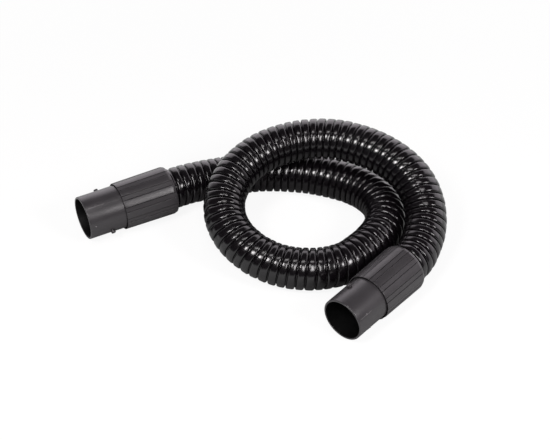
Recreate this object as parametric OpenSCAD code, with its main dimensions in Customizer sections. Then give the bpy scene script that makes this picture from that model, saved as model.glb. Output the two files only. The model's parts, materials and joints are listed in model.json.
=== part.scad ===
// Ribbed vacuum hose with a swivel cuff on each end, laid down in one loose loop.
// Millimetres. +Z is up and the floor is at Z = 0. The origin is on the floor, midway between
// the two cuffs. Each cuff is drawn along its own axis, with its mouth at 0, and then laid in place.

/* [Hose] */
// Bore of the hose
hose_bore_d = 38; // [34:0.5:38.5]
// Thickness of the hose wall at the bottom of a groove
hose_wall = 1.1; // [0.8:0.1:1.3]
// Height of a rib above the groove beside it
rib_h = 2.9; // [2:0.1:3.1]
// Distance from one rib to the next
rib_pitch = 8.75; // [8:0.25:12]

/* [Spigot] */
// Outer diameter of the spigot's parallel end, which goes into the mating socket
spigot_od = 48.6; // [47:0.1:50]
// Wall of the spigot
spigot_wall = 2.1; // [1.5:0.1:2.6]
// Length from the mouth to the front of the grip
spigot_l = 42.5; // [36:0.5:60]
// Length of the parallel end, measured from the mouth
land_l = 22; // [16:0.5:22.5]
// How much the spigot swells in radius from its parallel end to the grip
spigot_swell = 0.25; // [0.1:0.05:0.4]
// Length over which the spigot's bore widens to the neck's bore
widening_l = 6; // [4:0.5:10]
// Rounding of the outer rim at the mouth
rim_round = 0.8; // [0.3:0.1:1.1]

/* [Bayonet lugs] */
// Diameter of a lug
lug_d = 5; // [3:0.5:6]
// Distance from the mouth to the middle of a lug
lug_s = 25.7; // [25:0.1:29]
// Radius from the cuff's axis to the tip of a lug
lug_tip_r = 27.2; // [26:0.1:27.2]

/* [Grip] */
// Length of the grip
grip_l = 61.5; // [58:0.5:75]
// Wall of the grip at its front
grip_wall = 1.4; // [1.3:0.1:2.2]
// How much the grip widens in radius from its front to its rear
grip_flare = 0.8; // [0.2:0.05:1]
// Depth of the narrow gap round the spigot in the grip's front
joint_depth = 2; // [1:0.5:3]
// Number of flutes round the grip
flutes = 12; // [8:1:16]
// Width of a flute
flute_w = 6.2; // [4:0.1:8]
// Depth of a flute at its middle
flute_depth = 0.45; // [0.3:0.05:0.6]
// Length of the bevel at the rear of the grip
bevel_l = 3; // [2:0.5:5]
// Depth of that bevel
bevel_h = 0.95; // [0.6:0.05:1.1]

/* [Swivel] */
// How far the spigot's neck reaches into the grip
neck_in = 14.5; // [12:0.5:15]
// Wall of the neck
neck_wall = 2; // [1.5:0.1:2.4]
// Height of the snap bead on the neck
bead_h = 0.35; // [0.2:0.05:0.5]
// Length of the snap bead
bead_l = 2.4; // [1.6:0.2:3]
// Thickness of the seal ring
seal_t = 1.8; // [1.2:0.1:2.4]
// Wall of the ferrule's sleeve
ferrule_wall = 1.1; // [1:0.1:1.3]
// Height of the ferrule's flange above its sleeve
flange_h = 0.9; // [0.8:0.05:1.2]
// Length of the ferrule's flange
flange_l = 4; // [3:0.5:6]
// Thickness of the lip that the end of the hose stops on
lip_t = 1.5; // [1:0.1:2]
// How much wider the hole in that lip is than the hose's bore, in radius
lip_step = 0.3; // [0.1:0.1:0.5]
// How far the ferrule's rear end lies inside the grip
ferrule_inset = 2.5; // [1:0.5:6]
// Number of rings inside the ferrule that lock into the hose's grooves
lock_rings = 4; // [1:1:4]
// Height of a locking ring
lock_h = 1.4; // [0.8:0.1:1.6]

/* [Clearances] */
// Radial clearance of the turning joint between ferrule and grip
run_clear = 0.08; // [0.03:0.01:0.1]
// Gap at each end of the ferrule's flange
end_play = 0.2; // [0.1:0.05:0.4]
// Radial clearance of the neck and the seal in the grip
neck_fit = 0.05; // [0.03:0.01:0.1]
// Radial clearance of the hose in the ferrule
ferrule_fit = 0.1; // [0.05:0.01:0.15]

/* [Layout] */
// How far cuff a is turned about its own axis, in degrees
turn_a = 118; // [0:1:359]
// How far cuff b is turned about its own axis, in degrees
turn_b = 150; // [0:1:359]

/* [Hidden] */

// Hose radii
bore_r = hose_bore_d / 2;
groove_r = bore_r + hose_wall;
crest_r = groove_r + rib_h;

// Radii of the swivel, from the hose outwards
sleeve_bore_r = crest_r + ferrule_fit;
sleeve_r = sleeve_bore_r + ferrule_wall;
flange_r = sleeve_r + flange_h;
grip_front_bore_r = flange_r + run_clear;
grip_rear_bore_r = sleeve_r + run_clear;
grip_front_r = grip_front_bore_r + grip_wall;
grip_rear_r = grip_front_r + grip_flare;
neck_r = grip_front_bore_r - neck_fit;
neck_bore_r = neck_r - neck_wall;
spigot_r = spigot_od / 2;
spigot_bore_r = spigot_r - spigot_wall;
lip_bore_r = bore_r + lip_step;

// Places along a cuff, from its mouth
bore_end_s = spigot_l - widening_l;
neck_s = spigot_l + joint_depth;
neck_end_s = spigot_l + neck_in;
bead_s = spigot_l + neck_in / 2;
seal_end_s = neck_end_s + seal_t;
flange_s = seal_end_s + end_play;
flange_end_s = flange_s + flange_l;
stop_s = flange_end_s + end_play;
hose_end_s = flange_s + lip_t;
cuff_l = spigot_l + grip_l;
sleeve_end_s = cuff_l - ferrule_inset;

// Small edge breaks, and a length that carries a cutter clear of its work
edge = 0.4;
seal_edge = 0.6;
past = 1;
round_steps = 4;
smooth = 96;
lug_smooth = 32;

// The grip's wide rear rests on the floor
axis_h = grip_rear_r;

// Where each grip ends on the floor plan, and which way each cuff points from its mouth to its rear
rear_a = [-86.7, 97.7];
heading_a = 27.45;
rear_b = [169.9, -27.5];
heading_b = 48.7;

// Each rib of the grip is centred this far round from a lug
rib_from_lug = 20;

// The hose leaves a cuff straight, and its first bend is pulled towards a point this much further on
run_out = 2.5;
pull_a = 26;
pull_b = 18;

// Points that draw the loop: x, y and the height that the hose is lifted off the floor there
LOOP = [
    [-32, 123, 0], [-1, 133, 0], [32, 135, 0], [65, 132, 0], [93, 125, 0], [128, 110, 0],
    [153, 82, 0], [157, 48, 0], [143, 19, 0], [124, -3, 0], [104, -21, 0], [72, -28, 0],
    [38, -23, 0], [7, -9, 6], [-17, 16, 14], [-26, 47, 24], [-17, 79, 36], [5, 106, 44],
    [37, 124, 49], [72, 132, 51], [105, 129, 52], [140, 115, 51], [174, 92, 44], [194, 63, 31],
    [198, 34, 17], [193, 12, 11],
];

// Route of the hose's centreline: a cubic B-spline drawn by the loop's points, with a straight run
// in each cuff
function heading(angle) = [cos(angle), sin(angle), 0];
function on_axis(rear, angle, back) = [rear.x, rear.y, axis_h] + back * heading(angle);
exit_a = on_axis(rear_a, heading_a, run_out);
exit_b = on_axis(rear_b, heading_b, run_out);
lead_a = on_axis(rear_a, heading_a, run_out + pull_a);
lead_b = on_axis(rear_b, heading_b, run_out + pull_b);
drawn = [
    2 * exit_a - lead_a, exit_a, lead_a,
    for (p = LOOP) [p.x, p.y, crest_r + p.z],
    lead_b, exit_b, 2 * exit_b - lead_b,
];
function spline(a, b, c, d, t) =
    ((1 - t) ^ 3 * a + (3 * t ^ 3 - 6 * t ^ 2 + 4) * b
    + (1 + 3 * t + 3 * t ^ 2 - 3 * t ^ 3) * c + t ^ 3 * d) / 6;
span_steps = 8;
straight = cuff_l - hose_end_s;
centreline = [
    on_axis(rear_a, heading_a, -straight),
    for (i = [0 : len(drawn) - 4], j = [0 : span_steps - 1])
        spline(drawn[i], drawn[i + 1], drawn[i + 2], drawn[i + 3], j / span_steps),
    exit_b,
    on_axis(rear_b, heading_b, -straight),
];

// Distance along the hose of each point of its centreline, and the centreline's direction there
last = len(centreline) - 1;
step_l = [for (i = [1 : last]) norm(centreline[i] - centreline[i - 1]), 0];
along = [for (i = 0, s = 0; i <= last; s = s + step_l[i], i = i + 1) s];
hose_l = along[last];
table_x = [for (i = [0 : last]) [along[i], centreline[i].x]];
table_y = [for (i = [0 : last]) [along[i], centreline[i].y]];
table_z = [for (i = [0 : last]) [along[i], centreline[i].z]];
function at(s) = [lookup(s, table_x), lookup(s, table_y), lookup(s, table_z)];
function unit(v) = v / norm(v);
near = 1;
function direction(s) = unit(at(s + near) - at(s - near));

// The ribs share out the length evenly, so both ends of the hose are whole ribs
ribs = round(hose_l / rib_pitch);
pitch = hose_l / ribs;
sides = 8;

// One eight-sided ring round the centreline, with a corner at the bottom
function ring(s, r) =
    let (ahead = direction(s), side = unit(cross(ahead, [0, 0, 1])), up = cross(side, ahead))
    [for (k = [0 : sides - 1]) at(s) + r * (sin(k * 360 / sides) * side - cos(k * 360 / sides) * up)];

// Triangles between the rings that start at point first, and across an end between two rings
function skin(first, rings, outwards) = [
    for (i = [0 : rings - 2], k = [0 : sides - 1])
        let (a = first + i * sides + k, b = first + i * sides + (k + 1) % sides, c = a + sides, d = b + sides)
        each outwards ? [[a, b, c], [b, d, c]] : [[a, c, b], [b, c, d]],
];
function end_face(outer, inner, start) = [
    for (k = [0 : sides - 1])
        let (a = outer + k, b = outer + (k + 1) % sides, c = inner + k, d = inner + (k + 1) % sides)
        each start ? [[a, c, b], [b, c, d]] : [[a, b, c], [b, d, c]],
];

// Least clear distance between strands of the hose that pass each other, crest to crest
crest_points = [for (i = [0 : ribs]) at(i * pitch)];
apart = ceil(3 * 2 * crest_r / pitch);
least_gap = min([
    for (i = [0 : ribs - apart], j = [i + apart : ribs]) norm(crest_points[i] - crest_points[j])
]) - 2 * crest_r;
echo(hose_length = hose_l, ribs = ribs, pitch = pitch, least_gap_to_itself = least_gap);

// Corrugated hose: each rib is a crest ring and a groove ring, round a plain bore
module hose() {
    crests = [for (i = [0 : 2 * ribs]) each ring(i * pitch / 2, i % 2 == 0 ? crest_r : groove_r)];
    bore_at = [0, for (i = [0 : ribs - 1]) (i + 0.5) * pitch, hose_l];
    bore = [for (s = bore_at) each ring(s, bore_r)];
    outer_rings = 2 * ribs + 1;
    bore_rings = ribs + 2;
    inner = outer_rings * sides;
    color([0.05, 0.05, 0.055])
        polyhedron(
            points = concat(crests, bore),
            faces = concat(
                skin(0, outer_rings, true),
                skin(inner, bore_rings, false),
                end_face(0, inner, true),
                end_face(inner - sides, inner + (bore_rings - 1) * sides, false)
            )
        );
}

// A bump on a profile, with sloping flanks
function bump(r, h, s, l) = [[r, s - l / 2], [r + h, s - l / 4], [r + h, s + l / 4], [r, s + l / 2]];
function turned_back(points) = [for (i = [len(points) - 1 : -1 : 0]) points[i]];

// Front tube of a cuff: parallel land, gentle swell and the neck that snaps into the grip
module spigot() {
    rim = [
        for (i = [0 : round_steps])
            let (a = 90 * i / round_steps)
            [spigot_r - rim_round * (1 - sin(a)), rim_round * (1 - cos(a))],
    ];
    profile = concat(
        [[spigot_bore_r, edge], [spigot_bore_r + edge, 0]],
        rim,
        [
            [spigot_r, land_l],
            [spigot_r + spigot_swell, spigot_l],
            [spigot_r + spigot_swell, neck_s],
            [neck_r, neck_s],
        ],
        bump(neck_r, bead_h, bead_s, bead_l),
        [
            [neck_r, neck_end_s],
            [neck_bore_r, neck_end_s],
            [neck_bore_r, spigot_l],
            [spigot_bore_r, bore_end_s],
        ]
    );
    color([0.19, 0.19, 0.2]) {
        rotate_extrude($fn = smooth) polygon(profile);
        for (k = [0, 1])
            rotate([0, 0, k * 180]) lug();
    }
}

// Round bayonet lug with a broken edge, rooted in the spigot's wall
module lug() {
    root_r = spigot_bore_r + spigot_wall / 2;
    translate([root_r, 0, lug_s]) rotate([0, 90, 0])
        rotate_extrude($fn = lug_smooth)
            polygon([
                [0, 0], [lug_d / 2, 0], [lug_d / 2, lug_tip_r - root_r - edge],
                [lug_d / 2 - edge, lug_tip_r - root_r], [0, lug_tip_r - root_r],
            ]);
}

// Fluted grip sleeve, with the wide bore for the neck and the flange and the narrow one for the sleeve
module grip() {
    outside = [
        [grip_front_r - edge, spigot_l],
        [grip_front_r, spigot_l + edge],
        [grip_rear_r, cuff_l - bevel_l],
        [grip_rear_r - bevel_h, cuff_l],
    ];
    inside = concat(
        [[grip_front_bore_r, spigot_l]],
        bump(grip_front_bore_r, bead_h, bead_s, bead_l),
        [
            [grip_front_bore_r, stop_s],
            [grip_rear_bore_r, stop_s],
            [grip_rear_bore_r, cuff_l],
        ]
    );
    flare_angle = atan(grip_flare / (grip_l - bevel_l));
    color([0.2, 0.2, 0.21])
        difference() {
            rotate_extrude($fn = smooth) polygon(concat(outside, turned_back(inside)));
            for (k = [0 : flutes - 1])
                rotate([0, 0, rib_from_lug + (k + 0.5) * 360 / flutes])
                    translate([grip_front_r - flute_depth, -flute_w / 2, spigot_l])
                        rotate([0, flare_angle, 0]) translate([0, 0, -past])
                            cube([grip_wall, flute_w, grip_l + 2 * past]);
        }
}

// Ferrule: sleeve that locks onto the hose's ribs, with the flange that the swivel turns on
module ferrule() {
    lock_at = [for (i = [0 : lock_rings - 1]) hose_end_s + (i + 0.5) * pitch];
    inside = concat(
        [[lip_bore_r, flange_s], [lip_bore_r, hose_end_s], [sleeve_bore_r, hose_end_s]],
        [for (s = lock_at) each bump(sleeve_bore_r, -lock_h, s, 2 * lock_h)],
        [[sleeve_bore_r, sleeve_end_s - edge], [sleeve_bore_r + edge, sleeve_end_s]]
    );
    outside = [
        [flange_r, flange_s],
        [flange_r, flange_end_s],
        [sleeve_r, flange_end_s],
        [sleeve_r, sleeve_end_s],
    ];
    color([0.3, 0.3, 0.31])
        rotate_extrude($fn = smooth) polygon(concat(outside, turned_back(inside)));
}

// Rubber ring between the neck and the ferrule's flange, with a soft lip towards the flange
module seal() {
    color([0.08, 0.08, 0.08])
        rotate_extrude($fn = smooth)
            polygon([
                [neck_bore_r, neck_end_s],
                [neck_r, neck_end_s],
                [neck_r, seal_end_s - seal_edge],
                [neck_r - seal_edge, seal_end_s],
                [neck_bore_r + edge, seal_end_s],
                [neck_bore_r, seal_end_s - edge],
            ]);
}

// Lays a cuff's piece down with its grip's rear at its place on the floor plan
module laid(rear, angle, turn) {
    translate(on_axis(rear, angle, -cuff_l))
        rotate([0, 0, angle]) rotate([0, 90, 0]) rotate([0, 0, turn]) children();
}
module laid_a() {
    laid(rear_a, heading_a, turn_a) children();
}
module laid_b() {
    laid(rear_b, heading_b, turn_b) children();
}

hose();
laid_a() spigot();  // spigot_a
laid_a() grip();  // grip_a
laid_a() ferrule();  // ferrule_a
laid_a() seal();  // seal_a
laid_b() spigot();  // spigot_b
laid_b() grip();  // grip_b
laid_b() ferrule();  // ferrule_b
laid_b() seal();  // seal_b
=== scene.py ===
import json
import math

import bmesh
import bpy
from mathutils import Matrix, Vector


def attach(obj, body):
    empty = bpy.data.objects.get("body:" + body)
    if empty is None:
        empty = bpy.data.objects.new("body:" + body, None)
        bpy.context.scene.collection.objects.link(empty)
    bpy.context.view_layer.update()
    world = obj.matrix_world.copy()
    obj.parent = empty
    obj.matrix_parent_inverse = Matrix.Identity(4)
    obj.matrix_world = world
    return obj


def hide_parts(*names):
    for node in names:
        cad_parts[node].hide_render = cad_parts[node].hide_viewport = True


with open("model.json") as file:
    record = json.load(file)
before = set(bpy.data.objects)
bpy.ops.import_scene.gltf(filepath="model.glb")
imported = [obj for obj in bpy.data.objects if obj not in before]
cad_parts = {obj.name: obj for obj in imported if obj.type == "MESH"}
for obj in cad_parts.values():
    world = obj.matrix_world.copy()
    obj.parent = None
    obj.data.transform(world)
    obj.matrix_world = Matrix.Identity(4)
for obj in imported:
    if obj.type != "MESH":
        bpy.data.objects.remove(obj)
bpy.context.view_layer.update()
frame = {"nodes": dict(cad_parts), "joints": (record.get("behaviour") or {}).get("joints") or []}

# The frame is in metres
MM = 0.001

# ---- Camera ------------------------------------------------------------------------------------
# A portrait lens in front of the part and half-way up to overhead, aimed at a point on the floor
# between the two cuffs.
CAMERA_AIM = Vector((0.0324, 0.0771, 0.0))
CAMERA_ELEVATION = math.radians(42.26)
CAMERA_DISTANCE = 1.6899
CAMERA_LENS_MM = 98.18
CAMERA_SENSOR_MM = 36.0
CAMERA_REACH = 50.0

camera_data = bpy.data.cameras.new("camera")
camera_data.sensor_width = CAMERA_SENSOR_MM
camera_data.lens = CAMERA_LENS_MM
camera_data.clip_end = CAMERA_REACH
camera = bpy.data.objects.new("camera", camera_data)
bpy.context.scene.collection.objects.link(camera)
sight_line = Vector((0.0, math.cos(CAMERA_ELEVATION), -math.sin(CAMERA_ELEVATION)))
camera.location = CAMERA_AIM - sight_line * CAMERA_DISTANCE
camera.rotation_euler = sight_line.to_track_quat("-Z", "Y").to_euler()
bpy.context.scene.camera = camera

# ---- Hose --------------------------------------------------------------------------------------
# One length of blow-moulded black polyethylene hose, glossy from its mould. A flat-topped rib
# winds round it as a helix with a narrow notch between the turns, so it bends freely in any
# direction. Each end is screwed into a ferrule inside its cuff.
HOSE_BORE_R = 19.0 * MM
HOSE_GROOVE_R = 20.1 * MM
HOSE_RIB_H = 2.9 * MM
# The pitch that is aimed at: with a whole number of ribs on the hose it comes out at 8.77 mm
HOSE_RIB_PITCH = 8.75 * MM
HOSE_COLUMNS = 56
# The ribs fade out over this length at each end
HOSE_FADE = 4.0 * MM
HOSE_WELD = 0.01 * MM
HOSE_COLOUR = "#080608"
# How often the unevenness swings along one rib pitch, how far a rib leans to either side, in
# parts of the pitch, and the height of the lowest stretch of rib, in parts of its full height
HOSE_UNEVENNESS = 0.9
HOSE_RIB_LEAN = 0.06
HOSE_LOWEST_RIB = 0.87
# The span that a noise texture's values mostly fill
NOISE_LOW = 0.3
NOISE_HIGH = 0.7

# Along a cuff from its mouth: the joint's point, the end of the hose and the end of the cuff
JOINT_FROM_MOUTH = 60.0 * MM
HOSE_END = 60.5 * MM
CUFF_LENGTH = 104.0 * MM
# How far the hose runs on straight behind a cuff, and how far the cuff still steers it from there
RUN_OUT = 2.5 * MM
PULL = {"a": 26.0 * MM, "b": 18.0 * MM}
# The hose's path leaves out this much at each end, deep inside the cuffs
PATH_INSET = 15.0 * MM

# Points that draw the loop: x, y and how far the hose is lifted off the floor
LOOP = [
    (-0.032, 0.123, 0), (-0.001, 0.133, 0), (0.032, 0.135, 0), (0.065, 0.132, 0),
    (0.093, 0.125, 0), (0.128, 0.110, 0), (0.153, 0.082, 0), (0.157, 0.048, 0), (0.143, 0.019, 0),
    (0.124, -0.003, 0), (0.104, -0.021, 0), (0.072, -0.028, 0), (0.038, -0.023, 0),
    (0.007, -0.009, 0.006), (-0.017, 0.016, 0.014), (-0.026, 0.047, 0.024), (-0.017, 0.079, 0.036),
    (0.005, 0.106, 0.044), (0.037, 0.124, 0.049), (0.072, 0.132, 0.051), (0.105, 0.129, 0.052),
    (0.140, 0.115, 0.051), (0.174, 0.092, 0.044), (0.194, 0.063, 0.031), (0.198, 0.034, 0.017),
    (0.193, 0.012, 0.011),
]
SPAN_STEPS = 24

# The joints are named swivel_a and swivel_b, and their axes point from the mouth to the hose
cuff_axis, cuff_mouth = {}, {}
for joint in frame["joints"]:
    cuff = joint["name"][-1]
    cuff_axis[cuff] = Vector(joint["axis"]).normalized()
    cuff_mouth[cuff] = Vector(joint["pos_m"]) - cuff_axis[cuff] * JOINT_FROM_MOUTH


def in_cuff(cuff, distance):
    """The point on a cuff's axis that is this far from its mouth."""
    return cuff_mouth[cuff] + cuff_axis[cuff] * distance


def spline_point(a, b, c, d, t):
    """A point of the uniform cubic B-spline span that four control points draw."""
    return (
        a * (1 - t) ** 3
        + b * (3 * t**3 - 6 * t**2 + 4)
        + c * (1 + 3 * t + 3 * t**2 - 3 * t**3)
        + d * t**3
    ) / 6


crest_r = HOSE_GROOVE_R + HOSE_RIB_H
exit_a, lead_a = (in_cuff("a", CUFF_LENGTH + RUN_OUT + d) for d in (0.0, PULL["a"]))
exit_b, lead_b = (in_cuff("b", CUFF_LENGTH + RUN_OUT + d) for d in (0.0, PULL["b"]))
drawn = [2 * exit_a - lead_a, exit_a, lead_a]
drawn += [Vector((x, y, crest_r + lift)) for x, y, lift in LOOP]
drawn += [lead_b, exit_b, 2 * exit_b - lead_b]
centreline = [in_cuff("a", HOSE_END)]
for i in range(len(drawn) - 3):
    centreline += [spline_point(*drawn[i:i + 4], k / SPAN_STEPS) for k in range(SPAN_STEPS)]
centreline += [exit_b, in_cuff("b", HOSE_END)]
steps = [(b - a).length for a, b in zip(centreline, centreline[1:])]
hose_length = sum(steps)
hose_ribs = round(hose_length / HOSE_RIB_PITCH)


def add_node(tree, kind, inputs=(), **settings):
    """Adds a node and sets it up. Its inputs come by name, by number or in order. Each is a plain
    value, a socket to link, or a node whose first output is linked. A Mix node's two values are
    its inputs 2 and 3, and its two colours are 6 and 7."""
    node = tree.nodes.new(kind)
    for name, value in settings.items():
        setattr(node, name, value)
    for key, value in inputs.items() if isinstance(inputs, dict) else enumerate(inputs):
        if isinstance(value, bpy.types.Node):
            value = value.outputs[0]
        if isinstance(value, bpy.types.NodeSocket):
            tree.links.new(value, node.inputs[key])
        else:
            node.inputs[key].default_value = value
    return node


def linear(hex_colour):
    """An sRGB hex colour as the linear colour that a shader takes."""
    values = [int(hex_colour[i:i + 2], 16) / 255 for i in (1, 3, 5)]
    values = [v / 12.92 if v <= 0.04045 else ((v + 0.055) / 1.055) ** 2.4 for v in values]
    return (*values, 1.0)


def new_tree(name, inputs, output):
    """A Geometry Nodes tree with these inputs and one geometry output, and its input sockets."""
    tree = bpy.data.node_groups.new(name, "GeometryNodeTree")
    for socket, kind in inputs.items():
        tree.interface.new_socket(name=socket, in_out="INPUT", socket_type=f"NodeSocket{kind}")
    tree.interface.new_socket(name=output, in_out="OUTPUT", socket_type="NodeSocketGeometry")
    return tree, add_node(tree, "NodeGroupInput").outputs


# One rib and its notch along the hose: how far on, in parts of the 8.77 mm pitch, and how high,
# in parts of the rib's height. The notch is narrow and the crest's corners are well rounded.
RIB_PROFILE = [
    (0.052, 0.0), (0.061, 0.29), (0.080, 0.56), (0.132, 0.79), (0.206, 0.945), (0.295, 1.0),
    (0.705, 1.0), (0.794, 0.945), (0.868, 0.79), (0.920, 0.56), (0.939, 0.29), (0.948, 0.0),
]


def helical_hose_tree():
    """Winds a ribbed, hollow hose round the route, as one closed surface."""
    tree, given = new_tree("helical_hose", {
        "Route": "Geometry", "Ribs": "Int", "Columns": "Int", "Bore radius": "Float",
        "Groove radius": "Float", "Rib height": "Float", "Fade": "Float",
        "Unevenness per rib": "Float", "Lean": "Float", "Lowest rib": "Float",
        "Weld": "Float", "Material": "Material",
    }, "Hose")
    math_node = "ShaderNodeMath"
    vector_node = "ShaderNodeVectorMath"

    # A sheet of rows and columns. Its rows become the rings of the hose: an end ring, the
    # profile's rows for each rib, an end ring, the rings of the bore, and the first ring again.
    per_rib = len(RIB_PROFILE)
    turns = add_node(tree, math_node, [given["Ribs"], 1.0], operation="ADD")
    outer_rows = add_node(tree, math_node, [turns, per_rib, 2.0], operation="MULTIPLY_ADD")
    gaps = add_node(tree, math_node, [outer_rows, turns], operation="ADD")
    rows = add_node(tree, math_node, [gaps, 1.0], operation="ADD")
    columns = add_node(tree, math_node, [given["Columns"], 1.0], operation="ADD")
    sheet = add_node(tree, "GeometryNodeMeshGrid", {
        "Size X": gaps, "Size Y": given["Columns"], "Vertices X": rows, "Vertices Y": columns,
    })
    place = add_node(tree, "ShaderNodeSeparateXYZ", [add_node(tree, "GeometryNodeInputPosition")])
    row = add_node(tree, math_node, [gaps, 0.5, place.outputs["X"]], operation="MULTIPLY_ADD")
    row = add_node(tree, math_node, [row], operation="ROUND")
    turn = add_node(tree, math_node, [place.outputs["Y"], given["Columns"]], operation="DIVIDE")
    turn = add_node(tree, math_node, [turn, 0.5], operation="ADD")

    # Which rib a row belongs to, and which point of the profile it is
    count = add_node(tree, math_node, [row, 1.0], operation="SUBTRACT")
    rib = add_node(tree, math_node, [row, 0.5], operation="SUBTRACT")
    rib = add_node(tree, math_node, [rib, per_rib], operation="DIVIDE")
    rib = add_node(tree, math_node, [rib], operation="FLOOR")
    point = add_node(tree, math_node, [rib, -per_rib, count], operation="MULTIPLY_ADD")
    tables = []
    for column in (0, 1):
        table = add_node(tree, "GeometryNodeIndexSwitch", {"Index": point}, data_type="FLOAT")
        while len(table.index_switch_items) < per_rib:
            table.index_switch_items.new()
        for i, entry in enumerate(RIB_PROFILE):
            table.inputs[str(i)].default_value = entry[column]
        tables.append(table)
    phase, height = tables

    # Distance along the hose: a row gains one whole pitch while it goes once round
    curve = add_node(tree, "GeometryNodeMeshToCurve", [given["Route"]])
    length = add_node(tree, "GeometryNodeCurveLength", [curve])
    pitch = add_node(tree, math_node, [length, given["Ribs"]], operation="DIVIDE")
    wound = add_node(tree, math_node, [rib, phase], operation="ADD")
    wound = add_node(tree, math_node, [wound, turn], operation="ADD")
    wound = add_node(tree, math_node, [wound, 1.0], operation="SUBTRACT")

    # The hose has been handled, so its ribs lean and sink a little, differently all the way round
    angle = add_node(tree, math_node, [turn, 2 * math.pi], operation="MULTIPLY")
    sine = add_node(tree, math_node, [angle], operation="SINE")
    cosine = add_node(tree, math_node, [angle], operation="COSINE")
    heading = add_node(tree, "ShaderNodeCombineXYZ", [cosine, sine, wound])
    handled = add_node(tree, "ShaderNodeTexNoise", {
        "Vector": heading, "Scale": given["Unevenness per rib"], "Detail": 1.0,
    }).outputs["Color"]
    handled = add_node(tree, "ShaderNodeSeparateXYZ", [handled]).outputs
    lean_back = add_node(tree, math_node, [given["Lean"], -1.0], operation="MULTIPLY")
    lean = add_node(tree, "ShaderNodeMapRange", {
        "Value": handled["X"], "From Min": NOISE_LOW, "From Max": NOISE_HIGH,
        "To Min": lean_back, "To Max": given["Lean"],
    })
    sunk = add_node(tree, "ShaderNodeMapRange", {
        "Value": handled["Y"], "From Min": 0.35, "From Max": 0.65,
        "To Min": 1.0, "To Max": given["Lowest rib"],
    })
    wound = add_node(tree, math_node, [wound, lean], operation="ADD")

    # The outside follows the winding, and the bore comes back in plain rings
    outside_at = add_node(tree, math_node, [wound, pitch], operation="MULTIPLY")
    bore_row = add_node(tree, math_node, [row, outer_rows], operation="SUBTRACT")
    bore_at = add_node(tree, math_node, [bore_row, pitch], operation="MULTIPLY")
    bore_at = add_node(tree, math_node, [length, bore_at], operation="SUBTRACT")
    in_bore = add_node(tree, math_node, [bore_row, -0.5], operation="GREATER_THAN")
    last_turn = add_node(tree, math_node, [turns, 0.5], operation="SUBTRACT")
    closing = add_node(tree, math_node, [bore_row, last_turn], operation="GREATER_THAN")
    along = add_node(tree, "ShaderNodeMix", {"Factor": in_bore, 2: outside_at, 3: bore_at})
    along = add_node(tree, math_node, [along, 0.0], operation="MAXIMUM")
    along = add_node(tree, math_node, [along, length], operation="MINIMUM")

    # Radius: ribs outside, faded out towards both ends, and the plain bore inside
    to_end = add_node(tree, math_node, [length, along], operation="SUBTRACT")
    to_end = add_node(tree, math_node, [to_end, along], operation="MINIMUM")
    fade = add_node(
        tree, math_node, [to_end, given["Fade"]], operation="DIVIDE", use_clamp=True
    )
    rise = add_node(tree, math_node, [height, fade], operation="MULTIPLY")
    rise = add_node(tree, math_node, [rise, sunk], operation="MULTIPLY")
    outside_r = add_node(
        tree, math_node, [rise, given["Rib height"], given["Groove radius"]],
        operation="MULTIPLY_ADD",
    )
    only_bore = add_node(tree, math_node, [in_bore, closing], operation="SUBTRACT")
    radius = add_node(tree, "ShaderNodeMix", {
        "Factor": closing, 2: outside_r, 3: given["Groove radius"],
    })
    radius = add_node(tree, "ShaderNodeMix", {
        "Factor": only_bore, 2: radius, 3: given["Bore radius"],
    })

    # Put each point round the centreline, turning with it but never rolling
    sample = add_node(
        tree, "GeometryNodeSampleCurve", {"Curves": curve, "Length": along}, mode="LENGTH"
    ).outputs
    ahead = sample["Tangent"]
    side = add_node(tree, vector_node, [ahead, (0.0, 0.0, 1.0)], operation="CROSS_PRODUCT")
    side = add_node(tree, vector_node, [side], operation="NORMALIZE")
    up = add_node(tree, vector_node, [side, ahead], operation="CROSS_PRODUCT")
    position = sample["Position"]
    for direction, share, sign in ((side, sine, 1.0), (up, cosine, -1.0)):
        share = add_node(tree, math_node, [share, sign], operation="MULTIPLY")
        share = add_node(tree, math_node, [share, radius], operation="MULTIPLY")
        position = add_node(
            tree, vector_node, [direction, share, position], operation="MULTIPLY_ADD"
        )
    wall = add_node(tree, "GeometryNodeSetPosition", {"Geometry": sheet, "Position": position})

    # Metres round and along the hose as its UV map, then weld the seam and finish
    crest = add_node(
        tree, math_node, [given["Groove radius"], given["Rib height"]], operation="ADD"
    )
    round_it = add_node(tree, math_node, [angle, crest], operation="MULTIPLY")
    metres = add_node(tree, "ShaderNodeCombineXYZ", [round_it, along])
    wall = add_node(tree, "GeometryNodeStoreNamedAttribute", {
        "Geometry": wall, "Name": "UVMap", "Value": metres,
    }, data_type="FLOAT2", domain="CORNER")
    wall = add_node(tree, "GeometryNodeMergeByDistance", {
        "Geometry": wall, "Distance": given["Weld"],
    })
    wall = add_node(tree, "GeometryNodeSetShadeSmooth", [wall])
    wall = add_node(tree, "GeometryNodeRealizeInstances", [wall])
    wall = add_node(tree, "GeometryNodeSetMaterial", {
        "Geometry": wall, "Material": given["Material"],
    })
    add_node(tree, "NodeGroupOutput", {"Hose": wall})
    return tree


def new_material(name):
    """A material with an empty node tree."""
    material = bpy.data.materials.new(name)
    material.use_nodes = True
    material.node_tree.nodes.clear()
    return material


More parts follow.
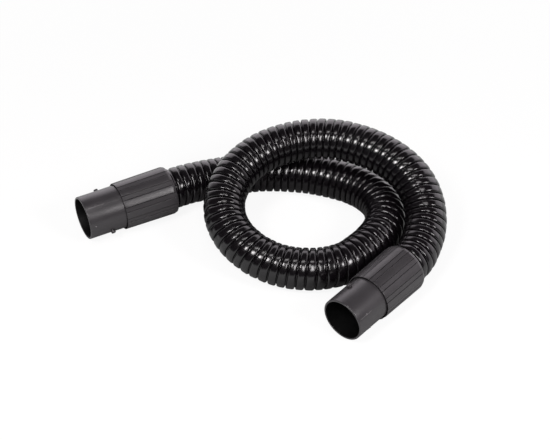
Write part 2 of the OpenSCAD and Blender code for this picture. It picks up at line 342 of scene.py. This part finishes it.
# Blow-moulded polyethylene with carbon black: deep black, with a wet gloss on the crests that is
# broken up a little by flow marks from the mould, 11 mm wide round the hose and 2.4 mm along it
hose_plastic = new_material("blow_moulded_polyethylene")
tree = hose_plastic.node_tree
around = add_node(tree, "ShaderNodeUVMap", uv_map="UVMap")
flow = add_node(tree, "ShaderNodeMapping", {
    "Vector": around, "Scale": (0.09 / MM, 0.42 / MM, 1.0),
})
flow = add_node(tree, "ShaderNodeTexNoise", {"Vector": flow, "Scale": 1.0, "Detail": 3.0})
gloss = add_node(tree, "ShaderNodeMapRange", {
    "Value": flow, "From Min": NOISE_LOW, "From Max": NOISE_HIGH, "To Min": 0.11, "To Max": 0.21,
})
ripple = add_node(tree, "ShaderNodeBump", {"Strength": 0.25, "Distance": 0.4 * MM, "Height": flow})
surface = add_node(tree, "ShaderNodeBsdfPrincipled", {
    "Base Color": linear(HOSE_COLOUR), "Roughness": gloss, "IOR": 1.5, "Normal": ripple,
})
add_node(tree, "ShaderNodeOutputMaterial", [surface])


def run_tree(obj, tree, values):
    """Runs a tree on an object, and leaves its result as the object's own plain mesh."""
    modifier = obj.modifiers.new(tree.name, "NODES")
    modifier.node_group = tree
    names = {s.name: s.identifier for s in tree.interface.items_tree if s.item_type == "SOCKET"}
    for name, value in values.items():
        modifier[names[name]] = value
    bpy.context.view_layer.update()
    graph = bpy.context.evaluated_depsgraph_get()
    mesh = bpy.data.meshes.new_from_object(obj.evaluated_get(graph))
    obj.modifiers.remove(modifier)
    obj.data = mesh
    mesh.name = obj.name


def new_object(name, vertices, edges=(), faces=()):
    """An object with a mesh of these vertices, edges and faces."""
    mesh = bpy.data.meshes.new(name)
    mesh.from_pydata([tuple(v) for v in vertices], list(edges), list(faces))
    obj = bpy.data.objects.new(name, mesh)
    bpy.context.scene.collection.objects.link(obj)
    return obj


hose = new_object(
    "corrugated_hose", centreline, edges=[(i, i + 1) for i in range(len(centreline) - 1)]
)
run_tree(hose, helical_hose_tree(), {
    "Ribs": hose_ribs,
    "Columns": HOSE_COLUMNS,
    "Bore radius": HOSE_BORE_R,
    "Groove radius": HOSE_GROOVE_R,
    "Rib height": HOSE_RIB_H,
    "Fade": HOSE_FADE,
    "Unevenness per rib": HOSE_UNEVENNESS,
    "Lean": HOSE_RIB_LEAN,
    "Lowest rib": HOSE_LOWEST_RIB,
    "Weld": HOSE_WELD,
    "Material": hose_plastic,
})

gone = [sum(steps[:i]) for i in range(len(centreline))]
path = [p for p, s in zip(centreline, gone) if PATH_INSET < s < hose_length - PATH_INSET]
path = [in_cuff("a", HOSE_END + PATH_INSET), *path, in_cuff("b", HOSE_END + PATH_INSET)]
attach(hose, "root")
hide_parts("hose")

# ---- Spigots -----------------------------------------------------------------------------------
# The front tube of each cuff, injection-moulded in charcoal polypropylene with a fine satin
# surface. A parallel end slides into a socket, two round lugs lock it there, and its neck snaps
# into the grip, whose front leaves a narrow gap round it.
CUFF_COLOUR = "#2B292B"
# The colour of the painted shade inside the spigots' bores
BORE_SHADE_COLOUR = "#060606"
# The colour of the painted shade in the cuffs' gaps and grooves
PAINTED_SHADE_COLOUR = "#0A0A0A"
SHEARED_COLOUR = "#5C595B"
SPIGOT_COLUMNS = 144
# Corners of the wall's section in mm: radius, distance from the mouth and rounding
SPIGOT_SECTION = [
    (22.2, 0.0, 0.35), (24.3, 0.0, 0.8), (24.3, 22.0, 0.0), (24.55, 42.5, 0.0),
    (24.55, 44.5, 0.0), (25.13, 44.5, 0.2), (25.13, 48.55, 0.0), (25.48, 49.15, 0.0),
    (25.48, 50.35, 0.0), (25.13, 50.95, 0.0), (25.13, 57.0, 0.3), (23.13, 57.0, 0.3),
    (23.13, 42.5, 0.0), (22.2, 36.5, 0.0),
]
SPIGOT_R = SPIGOT_SECTION[1][0] * MM
# A face of the tube belongs to the bore, and gets its painted shade, where it lies inside this
# radius, behind the mouth's rim
BORE_FACES_R = 23.6 * MM
BORE_FACES_S = 0.5 * MM
# The two lugs: a shaft with a rounded edge, rooted in the wall
LUG_R = 2.5 * MM
LUG_EDGE_R = 0.4 * MM
LUG_AT = 25.7 * MM
LUG_TIP_R = 27.2 * MM
LUG_ROOT_R = 23.2 * MM
LUG_COLUMNS = 40
LUG_SECTION = [(LUG_R, 0.0)] + [
    (
        LUG_R - LUG_EDGE_R * (1 - math.cos(math.radians(a))),
        LUG_TIP_R - LUG_ROOT_R - LUG_EDGE_R * (1 - math.sin(math.radians(a))),
    )
    for a in range(0, 91, 18)
]
# The mould's parting lines, which run back from near the mouth a quarter turn from the lugs
SEAM_DEGREES = (90.0, 270.0)
SEAM_FROM = 3.0 * MM
SEAM_TO = 21.5 * MM
SEAM_HALF_W = 0.18 * MM
SEAM_H = 0.05 * MM
# The marks of sheared gates, low domes: degrees round from a lug, and how far from the mouth
PIP = {"a": [(141.5, 6.3 * MM)], "b": [(89.0, 13.5 * MM), (149.0, 20.0 * MM)]}
PIP_R = 0.8 * MM
PIP_H = 0.5 * MM
PIP_COLUMNS = 16
PIP_SECTION = [
    (PIP_R * math.cos(math.radians(a)), PIP_H * math.sin(math.radians(a)))
    for a in (-30, 0, 20, 40, 60, 78)
]
# Painted shade in the gaps and grooves: how near to a wall it reaches, how open a place is where
# it is darkest and where there is none, and how much of the unshaded surface shows through where
# it is darkest
PAINTED_SHADE_REACH = 1.5 * MM
PAINTED_SHADE_DARKEST = 0.52
PAINTED_SHADE_NONE = 0.92
UNSHADED_SHOWS_THROUGH = 0.2
# How far each cuff is turned about its axis, in degrees
CUFF_TURN = {"a": 118.0, "b": 150.0}
# Two faces of a cuff that meet at more than this have a sharp edge
SHARP_EDGE = math.radians(38.0)


def rounded(corners, steps=5):
    """A closed section, in metres, from corners in mm whose third number rounds them off."""
    section = []
    for i, (r, s, rounding) in enumerate(corners):
        here = Vector((r, s))
        back = Vector(corners[i - 1][:2]) - here
        ahead = Vector(corners[(i + 1) % len(corners)][:2]) - here
        if rounding <= 0.0:
            section.append(here * MM)
            continue
        half = back.angle(ahead) / 2
        reach = rounding / math.tan(half)
        centre = here + (back.normalized() + ahead.normalized()).normalized() * (
            rounding / math.sin(half)
        )
        first = here + back.normalized() * reach - centre
        final = here + ahead.normalized() * reach - centre
        swing = first.angle_signed(final)
        for k in range(steps + 1):
            turned = first.copy()
            turned.rotate(Matrix.Rotation(-swing * k / steps, 2))
            section.append((centre + turned) * MM)
    return section


def band_faces(copies, corners, closed):
    """Faces from each copy of a closed section to the next, and round to the first if closed."""
    faces = []
    for c in range(copies if closed else copies - 1):
        here, there = c * corners, (c + 1) % copies * corners
        for k in range(corners):
            after = (k + 1) % corners
            faces.append((here + k, there + k, there + after, here + after))
    return faces


def turned_ring(section, columns):
    """Vertices and faces of a closed section turned round the cuff's axis."""
    vertices = [
        (r * math.cos(a), r * math.sin(a), s)
        for a in (2 * math.pi * c / columns for c in range(columns))
        for r, s in section
    ]
    return vertices, band_faces(columns, len(section), closed=True)


def add_stud(vertices, faces, angle, distance, section, foot_r, columns):
    """Adds a round stud that stands out from the tube, from radius and height pairs."""
    radial = Vector((math.cos(angle), math.sin(angle), 0.0))
    across = Vector((-math.sin(angle), math.cos(angle), 0.0))
    along = Vector((0.0, 0.0, 1.0))
    base = len(vertices)
    for r, h in section:
        for c in range(columns):
            a = 2 * math.pi * c / columns
            offset = across * (r * math.cos(a)) + along * (r * math.sin(a))
            vertices.append(tuple(radial * (foot_r + h) + along * distance + offset))
    rings = len(section)
    for i in range(rings - 1):
        for c in range(columns):
            after = (c + 1) % columns
            low, high = base + i * columns, base + (i + 1) * columns
            faces.append((low + c, low + after, high + after, high + c))
    faces.append(tuple(base + c for c in reversed(range(columns))))
    faces.append(tuple(base + (rings - 1) * columns + c for c in range(columns)))


def add_seam(vertices, faces, angle, start, end, half_w, height, foot_r):
    """Adds the fine ridge that a mould's parting leaves along the tube."""
    left = [(-1.0, -height), (-1.0, 0.0), (-0.5, height)]
    section = left + [(-share, rise) for share, rise in reversed(left)]
    near, far = len(vertices), len(vertices) + len(section)
    for s in (start, end):
        for share, rise in section:
            a, r = angle + share * half_w / foot_r, foot_r + rise
            vertices.append((r * math.cos(a), r * math.sin(a), s))
    for k in range(len(section)):
        after = (k + 1) % len(section)
        faces.append((near + k, near + after, far + after, far + k))
    faces.append(tuple(near + k for k in range(len(section))))
    faces.append(tuple(far + k for k in reversed(range(len(section)))))


def cuff_place(cuff):
    """Turns a cuff's own frame, with its mouth at 0, to where it lies."""
    heading = math.atan2(cuff_axis[cuff].y, cuff_axis[cuff].x)
    return (
        Matrix.Translation(cuff_mouth[cuff])
        @ Matrix.Rotation(heading, 4, "Z")
        @ Matrix.Rotation(math.radians(90.0), 4, "Y")
        @ Matrix.Rotation(math.radians(CUFF_TURN[cuff]), 4, "Z")
    )


def outward(mesh):
    """Turns every face of a mesh of closed shells outwards."""
    shell = bmesh.new()
    shell.from_mesh(mesh)
    bmesh.ops.recalc_face_normals(shell, faces=shell.faces)
    shell.to_mesh(mesh)
    shell.free()


# Injection-moulded polypropylene from a spark-eroded mould: charcoal and satin, its gloss drifting
# over clouds 17 mm wide. The fine grain is drawn at 0.33 mm, about three times as coarse as the
# real one, so that it shows.
cuff_plastic = new_material("satin_polypropylene")
tree = cuff_plastic.node_tree
place = add_node(tree, "ShaderNodeTexCoord").outputs["Object"]
grain = add_node(tree, "ShaderNodeTexNoise", {"Vector": place, "Scale": 3.0 / MM, "Detail": 2.0})
cloud = add_node(tree, "ShaderNodeTexNoise", {"Vector": place, "Scale": 0.06 / MM, "Detail": 3.0})
satin = add_node(tree, "ShaderNodeMapRange", {
    "Value": cloud, "From Min": NOISE_LOW, "From Max": NOISE_HIGH, "To Min": 0.30, "To Max": 0.37,
})
pitted = add_node(tree, "ShaderNodeBump", {"Strength": 0.2, "Distance": 0.1 * MM, "Height": grain})
# Painted shade: the gaps and grooves are darkened and dulled by how enclosed they are
unoccluded = add_node(tree, "ShaderNodeAmbientOcclusion", {"Distance": PAINTED_SHADE_REACH}, samples=8)
unshaded = add_node(tree, "ShaderNodeMapRange", {
    "Value": unoccluded, "From Min": PAINTED_SHADE_DARKEST, "From Max": PAINTED_SHADE_NONE,
    "To Min": UNSHADED_SHOWS_THROUGH, "To Max": 1.0,
})
shaded_tone = add_node(tree, "ShaderNodeMix", {
    "Factor": unshaded, 6: linear(PAINTED_SHADE_COLOUR), 7: linear(CUFF_COLOUR),
}, data_type="RGBA").outputs[2]
shaded_sheen = add_node(tree, "ShaderNodeMath", [unshaded, 0.5], operation="MULTIPLY")
surface = add_node(tree, "ShaderNodeBsdfPrincipled", {
    "Base Color": shaded_tone, "Roughness": satin, "IOR": 1.49, "Specular IOR Level": shaded_sheen,
    "Normal": pitted,
})
add_node(tree, "ShaderNodeOutputMaterial", [surface])


def mottled_material(name, colour, ior, specular, roughness, patches_per_mm, detail):
    """A solid colour whose roughness drifts between two values from patch to patch."""
    material = new_material(name)
    tree = material.node_tree
    place = add_node(tree, "ShaderNodeTexCoord").outputs["Object"]
    noise = add_node(tree, "ShaderNodeTexNoise", {
        "Vector": place, "Scale": patches_per_mm / MM, "Detail": detail,
    })
    mottle = add_node(tree, "ShaderNodeMapRange", {
        "Value": noise, "From Min": NOISE_LOW, "From Max": NOISE_HIGH,
        "To Min": roughness[0], "To Max": roughness[1],
    })
    surface = add_node(tree, "ShaderNodeBsdfPrincipled", {
        "Base Color": linear(colour), "Roughness": mottle, "IOR": ior,
        "Specular IOR Level": specular,
    })
    add_node(tree, "ShaderNodeOutputMaterial", [surface])
    return material


# The bore's side of the same plastic, painted dark and dull as painted shade inside the tube, with
# a roughness that drifts in drag marks 5 mm apart
bore_shaded_plastic = mottled_material(
    "bore_painted_shade_polypropylene", BORE_SHADE_COLOUR, ior=1.49, specular=0.15, roughness=(0.5, 0.6),
    patches_per_mm=0.2, detail=3.0,
)

# Polypropylene turns paler and dull where a gate is sheared off and where a parting is trimmed,
# with a torn grain of 0.4 mm
sheared_plastic = mottled_material(
    "sheared_polypropylene", SHEARED_COLOUR, ior=1.49, specular=0.5, roughness=(0.5, 0.65),
    patches_per_mm=2.5, detail=2.0,
)

for cuff in "ab":
    vertices, faces = turned_ring(rounded(SPIGOT_SECTION), SPIGOT_COLUMNS)
    for half_turn in (0.0, math.pi):
        add_stud(vertices, faces, half_turn, LUG_AT, LUG_SECTION, LUG_ROOT_R, LUG_COLUMNS)
    first_mark = len(faces)
    for degrees, pip_at in PIP[cuff]:
        add_stud(
            vertices, faces, math.radians(degrees), pip_at, PIP_SECTION, SPIGOT_R, PIP_COLUMNS
        )
    for degrees in SEAM_DEGREES:
        add_seam(
            vertices, faces, math.radians(degrees), SEAM_FROM, SEAM_TO, SEAM_HALF_W, SEAM_H,
            SPIGOT_R,
        )
    spigot = new_object(f"moulded_spigot_{cuff}", vertices, faces=faces)
    outward(spigot.data)
    spigot.data.shade_smooth()
    spigot.data.set_sharp_from_angle(angle=SHARP_EDGE)
    for plastic in (cuff_plastic, bore_shaded_plastic, sheared_plastic):
        spigot.data.materials.append(plastic)
    # Faces in the bore get its painted shade, and the pips and seams get the sheared plastic
    for face in spigot.data.polygons:
        inside = face.center.xy.length < BORE_FACES_R and face.center.z > BORE_FACES_S
        face.material_index = 1 if inside else 2 * (face.index >= first_mark)
    spigot.data.transform(cuff_place(cuff))
    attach(spigot, f"cuff_{cuff}")
    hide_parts(f"spigot_{cuff}")

# ---- Grips -------------------------------------------------------------------------------------
# The sleeve that the hand holds, moulded in the same charcoal polypropylene. Twelve shallow
# flutes run back from its front face and die out in the bevel at its rear. It snaps over the
# spigot's neck and keeps the ferrule's flange in its bore, so that it turns with the spigot.
GRIP_FLUTES = 12
GRIP_WELD = 0.005 * MM
FLUTE_HALF_W = 3.1 * MM
FLUTE_DEPTH = 0.45 * MM
# A flute's half width is turned into degrees at this radius
FLUTE_MEASURED_R = 27.0 * MM
# Degrees from a lug to the middle of the first flute
FLUTE_FROM_LUG = 35.0
# A flute's edge, with a fine line at the foot of its wall: degrees out from the edge, and the
# share of the depth that is cut there
FLUTE_EDGE = [
    (-2.1, 1.0), (-1.5, 1.0), (-1.4, 2.2), (-0.45, 2.2),
    (-0.25, 0.8), (0.0, 0.3), (0.4, 0.0), (0.9, 0.0),
]
# Columns, in degrees from the flute's middle, across its floor and across the half rib beside it
FLUTE_FLOOR = (-4.2, -2.1, 0.0, 2.1, 4.2)
HALF_RIB = (9.5, 12.25, 180.0 / GRIP_FLUTES)
# Corners of the sleeve's section in mm: radius, distance from the mouth and rounding
GRIP_FRONT = (26.58, 42.5)
GRIP_BEVEL = (27.38, 101.0)
GRIP_REAR = (26.43, 104.0)
GRIP_SECTION = [
    (25.18, 44.2, 0.0), (25.9, 42.5, 0.12), (*GRIP_FRONT, 0.25), (*GRIP_BEVEL, 0.12),
    (*GRIP_REAR, 0.2), (24.28, 104.0, 0.3), (24.28, 63.2, 0.0), (25.18, 63.2, 0.0),
    (25.18, 50.95, 0.0), (25.53, 50.35, 0.0), (25.53, 49.15, 0.0), (25.18, 48.55, 0.0),
]
# A side of the section is cut into pieces no longer than about this, so that no face is a sliver
LONGEST_PIECE = 4.5 * MM


def grip_sector():
    """Vertices and faces of one flute with half a rib on each side of it."""
    section = []
    corners = rounded(GRIP_SECTION)
    for p, q in zip(corners, corners[1:] + corners[:1]):
        pieces = max(1, round((q - p).length / LONGEST_PIECE))
        section += [p.lerp(q, k / pieces) for k in range(pieces)]
    # Degrees from the flute's middle, and the share of its depth that is cut there
    half = math.degrees(math.asin(FLUTE_HALF_W / FLUTE_MEASURED_R))
    right = [(half + d, cut) for d, cut in FLUTE_EDGE] + [(angle, 0.0) for angle in HALF_RIB]
    left = [(-angle, cut) for angle, cut in reversed(right)]
    columns = left + [(angle, 1.0) for angle in FLUTE_FLOOR] + right
    flare = (GRIP_BEVEL[0] - GRIP_FRONT[0]) / (GRIP_BEVEL[1] - GRIP_FRONT[1])
    vertices = []
    for angle, cut in columns:
        phi = math.radians(angle)
        for r, s in section:
            floor_r = GRIP_FRONT[0] * MM - FLUTE_DEPTH + flare * (s - GRIP_FRONT[1] * MM)
            r -= (r - min(r, floor_r / math.cos(phi))) * cut
            vertices.append((r * math.cos(phi), r * math.sin(phi), s))
    return vertices, band_faces(len(columns), len(section), closed=False)


def fluted_tree():
    """Repeats one sector round the axis and welds the sectors into one sleeve."""
    tree, given = new_tree("fluted_sleeve", {
        "Sector": "Geometry", "Flutes": "Int", "First flute": "Float", "Weld": "Float",
        "Material": "Material",
    }, "Sleeve")
    points = add_node(tree, "GeometryNodePoints", [given["Flutes"]])
    index = add_node(tree, "GeometryNodeInputIndex")
    share = add_node(tree, "ShaderNodeMath", [index, given["Flutes"]], operation="DIVIDE")
    angle = add_node(
        tree, "ShaderNodeMath", [share, 2 * math.pi, given["First flute"]],
        operation="MULTIPLY_ADD",
    )
    rotation = add_node(tree, "ShaderNodeCombineXYZ", {"Z": angle})
    sleeve = add_node(tree, "GeometryNodeInstanceOnPoints", {
        "Points": points, "Instance": given["Sector"], "Rotation": rotation,
    })
    sleeve = add_node(tree, "GeometryNodeRealizeInstances", [sleeve])
    sleeve = add_node(tree, "GeometryNodeMergeByDistance", {
        "Geometry": sleeve, "Distance": given["Weld"],
    })
    sleeve = add_node(tree, "GeometryNodeSetMaterial", {
        "Geometry": sleeve, "Material": given["Material"],
    })
    add_node(tree, "NodeGroupOutput", {"Sleeve": sleeve})
    return tree


sleeve_tree = fluted_tree()
for cuff in "ab":
    vertices, faces = grip_sector()
    grip = new_object(f"fluted_grip_{cuff}", vertices, faces=faces)
    run_tree(grip, sleeve_tree, {
        "Flutes": GRIP_FLUTES,
        "First flute": math.radians(FLUTE_FROM_LUG),
        "Weld": GRIP_WELD,
        "Material": cuff_plastic,
    })
    outward(grip.data)
    grip.data.shade_smooth()
    grip.data.set_sharp_from_angle(angle=SHARP_EDGE)
    grip.data.transform(cuff_place(cuff))
    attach(grip, f"cuff_{cuff}")
    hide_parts(f"grip_{cuff}")

# ---- Ferrules ----------------------------------------------------------------------------------
# The collet on each end of the hose, moulded in dark acetal because it is what the grip turns
# on. It stays inside the grip; only the edge of its sleeve shows behind the last rib. The surface
# is worn to a low gloss in patches 2 mm wide.
ferrule_plastic = mottled_material(
    "dark_acetal", "#1C1C1D", ior=1.48, specular=0.5, roughness=(0.24, 0.36),
    patches_per_mm=0.5, detail=3.0,
)


def dress_solid(node, material):
    """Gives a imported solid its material."""
    mesh = frame["nodes"][node].data
    mesh.materials.clear()
    mesh.materials.append(material)


for cuff in "ab":
    dress_solid(f"ferrule_{cuff}", ferrule_plastic)

# ---- Seals -------------------------------------------------------------------------------------
# A soft black rubber ring between the spigot's neck and the ferrule's flange, pressed in when
# the grip is snapped on. Its surface is matt, with a slight bloom in patches 1.1 mm wide.
seal_rubber = mottled_material(
    "nitrile_rubber", "#161616", ior=1.52, specular=0.5, roughness=(0.72, 0.9),
    patches_per_mm=0.9, detail=4.0,
)
for cuff in "ab":
    dress_solid(f"seal_{cuff}", seal_rubber)

# ---- Floor -------------------------------------------------------------------------------------
# A plain white studio floor under the part. It glows white near the camera's white and keeps a
# faint shadow where the part stands; further out it blends into the white surroundings.
FLOOR_HALF = 6.0
# The glow at the part, and how far from the middle it starts to rise to the full white
FLOOR_GLOW = 0.88
FLOOR_GLOW_FROM = 0.35
FLOOR_WHITE_FROM = 0.9
# How near to the part the floor's glow is darkened in reflections, as painted shade, and how
# steeply
FLOOR_SHADE_REACH = 0.20
FLOOR_SHADE_POWER = 2.5
corners = [(-1, -1), (1, -1), (1, 1), (-1, 1)]
floor = new_object(
    "floor", [(x * FLOOR_HALF, y * FLOOR_HALF, 0) for x, y in corners], faces=[(0, 1, 2, 3)]
)
floor_white = new_material("white_studio_floor")
tree = floor_white.node_tree
ray = add_node(tree, "ShaderNodeLightPath").outputs
seen = add_node(
    tree, "ShaderNodeMath", [ray["Is Camera Ray"], ray["Is Glossy Ray"]], operation="MAXIMUM"
)
seen = add_node(
    tree, "ShaderNodeMath", [seen, ray["Is Transmission Ray"]], operation="MAXIMUM"
)
# Painted shade: in reflections the floor's glow darkens where the part encloses it
open_sky = add_node(
    tree, "ShaderNodeAmbientOcclusion", {"Distance": FLOOR_SHADE_REACH}, samples=8
)
open_sky = add_node(tree, "ShaderNodeMath", [open_sky, FLOOR_SHADE_POWER], operation="POWER")
shade = add_node(tree, "ShaderNodeMix", {"Factor": ray["Is Glossy Ray"], 2: 1.0, 3: open_sky})
place = add_node(tree, "ShaderNodeTexCoord").outputs["Object"]
away = add_node(tree, "ShaderNodeVectorMath", [place], operation="LENGTH").outputs["Value"]
glow = add_node(tree, "ShaderNodeMapRange", {
    "Value": away, "From Min": FLOOR_GLOW_FROM, "From Max": FLOOR_WHITE_FROM,
    "To Min": FLOOR_GLOW, "To Max": 1.0,
})
share = add_node(tree, "ShaderNodeMath", [seen, glow], operation="MULTIPLY")
matt_white = add_node(tree, "ShaderNodeBsdfDiffuse", [linear("#F4F4F4")])
glowing = add_node(tree, "ShaderNodeEmission", [linear("#FFFFFF"), shade])
mixed = add_node(tree, "ShaderNodeMixShader", [share, matt_white, glowing])
add_node(tree, "ShaderNodeOutputMaterial", [mixed])
floor.data.materials.append(floor_white)

# ---- Light -------------------------------------------------------------------------------------
# Three soft boxes stand in front and to the sides, and a long one hangs overhead. A white sweep
# behind the part shows in the tops of the hose up to its crisp upper edge. Between the boxes and
# above the sweep the studio is dim.
SOFT_BOXES = [
    # azimuth from +Y towards +X and elevation in degrees, width and height in metres, radiance
    ("right", 125.0, 37.0, 0.50, 0.50, 23.0),
    ("front", 175.0, 44.0, 0.36, 0.80, 17.0),
    ("left", 215.0, 52.0, 0.45, 0.45, 32.0),
    ("overhead", 180.0, 82.0, 0.80, 0.25, 8.0),
]
LIGHT_AIM = Vector((0.03, 0.05, 0.03))
LIGHT_DISTANCE = 2.0
LAMP_COLOUR = "#FFFBFC"
# The sweep: where it stands, how squarely a ray has to face it to find its side and its full
# strength, how steeply up its upper edge starts and ends, and its strength and the one above it
SWEEP_HEADING = (0.35, 0.94, 0.0)
SWEEP_SIDE = (0.05, 0.65)
SWEEP_EDGE = (0.60, 0.68)
SWEEP_STRENGTH = 2.15
ABOVE_SWEEP = 0.1
# The least that a reflection finds anywhere, its tint, and the light that fills the shadows
DIM_STUDIO = 0.07
MIRRORED_COLOUR = "#FFF7FE"
FILL_LIGHT = 0.2

for name, azimuth, elevation, width, height, radiance in SOFT_BOXES:
    az, el = math.radians(azimuth), math.radians(elevation)
    towards = Vector((math.sin(az) * math.cos(el), math.cos(az) * math.cos(el), math.sin(el)))
    lamp = bpy.data.lights.new(f"soft_box_{name}", "AREA")
    lamp.shape = "RECTANGLE"
    lamp.size, lamp.size_y = width, height
    lamp.color = linear(LAMP_COLOUR)[:3]
    lamp.energy = radiance * math.pi * width * height
    lamp_object = bpy.data.objects.new(lamp.name, lamp)
    bpy.context.scene.collection.objects.link(lamp_object)
    lamp_object.location = LIGHT_AIM + towards * LIGHT_DISTANCE
    lamp_object.rotation_euler = (-towards).to_track_quat("-Z", "Y").to_euler()

world = bpy.data.worlds.new("studio")
world.use_nodes = True
tree = world.node_tree
tree.nodes.clear()
ray = add_node(tree, "ShaderNodeLightPath").outputs
way = add_node(tree, "ShaderNodeTexCoord").outputs["Generated"]
# Reflections find the sweep behind the part, which fades towards its sides and ends at its upper
# edge, and the dim studio in front of it and above
behind = add_node(
    tree, "ShaderNodeVectorMath", [way, SWEEP_HEADING], operation="DOT_PRODUCT"
).outputs["Value"]
sweep = add_node(tree, "ShaderNodeMapRange", {
    "Value": behind, "From Min": SWEEP_SIDE[0], "From Max": SWEEP_SIDE[1],
}, interpolation_type="SMOOTHSTEP")
upwards = add_node(tree, "ShaderNodeSeparateXYZ", [way]).outputs["Z"]
level = add_node(tree, "ShaderNodeMapRange", {
    "Value": upwards, "From Min": SWEEP_EDGE[0], "From Max": SWEEP_EDGE[1],
    "To Min": SWEEP_STRENGTH, "To Max": ABOVE_SWEEP,
}, interpolation_type="SMOOTHSTEP")
sweep = add_node(tree, "ShaderNodeMath", [sweep, level], operation="MULTIPLY")
mirrored = add_node(tree, "ShaderNodeMath", [sweep, DIM_STUDIO], operation="MAXIMUM")
strength = add_node(tree, "ShaderNodeMix", {
    "Factor": ray["Is Glossy Ray"], 2: FILL_LIGHT, 3: mirrored,
})
for plain_white in ("Is Camera Ray", "Is Transmission Ray"):
    strength = add_node(tree, "ShaderNodeMix", {"Factor": ray[plain_white], 2: strength, 3: 1.0})
tint = add_node(tree, "ShaderNodeMix", {
    "Factor": ray["Is Glossy Ray"], 6: linear("#FFFFFF"), 7: linear(MIRRORED_COLOUR),
}, data_type="RGBA").outputs[2]
sky = add_node(tree, "ShaderNodeBackground", [tint, strength])
add_node(tree, "ShaderNodeOutputWorld", [sky])
bpy.context.scene.world = world
bpy.context.scene.view_settings.view_transform = "Standard"
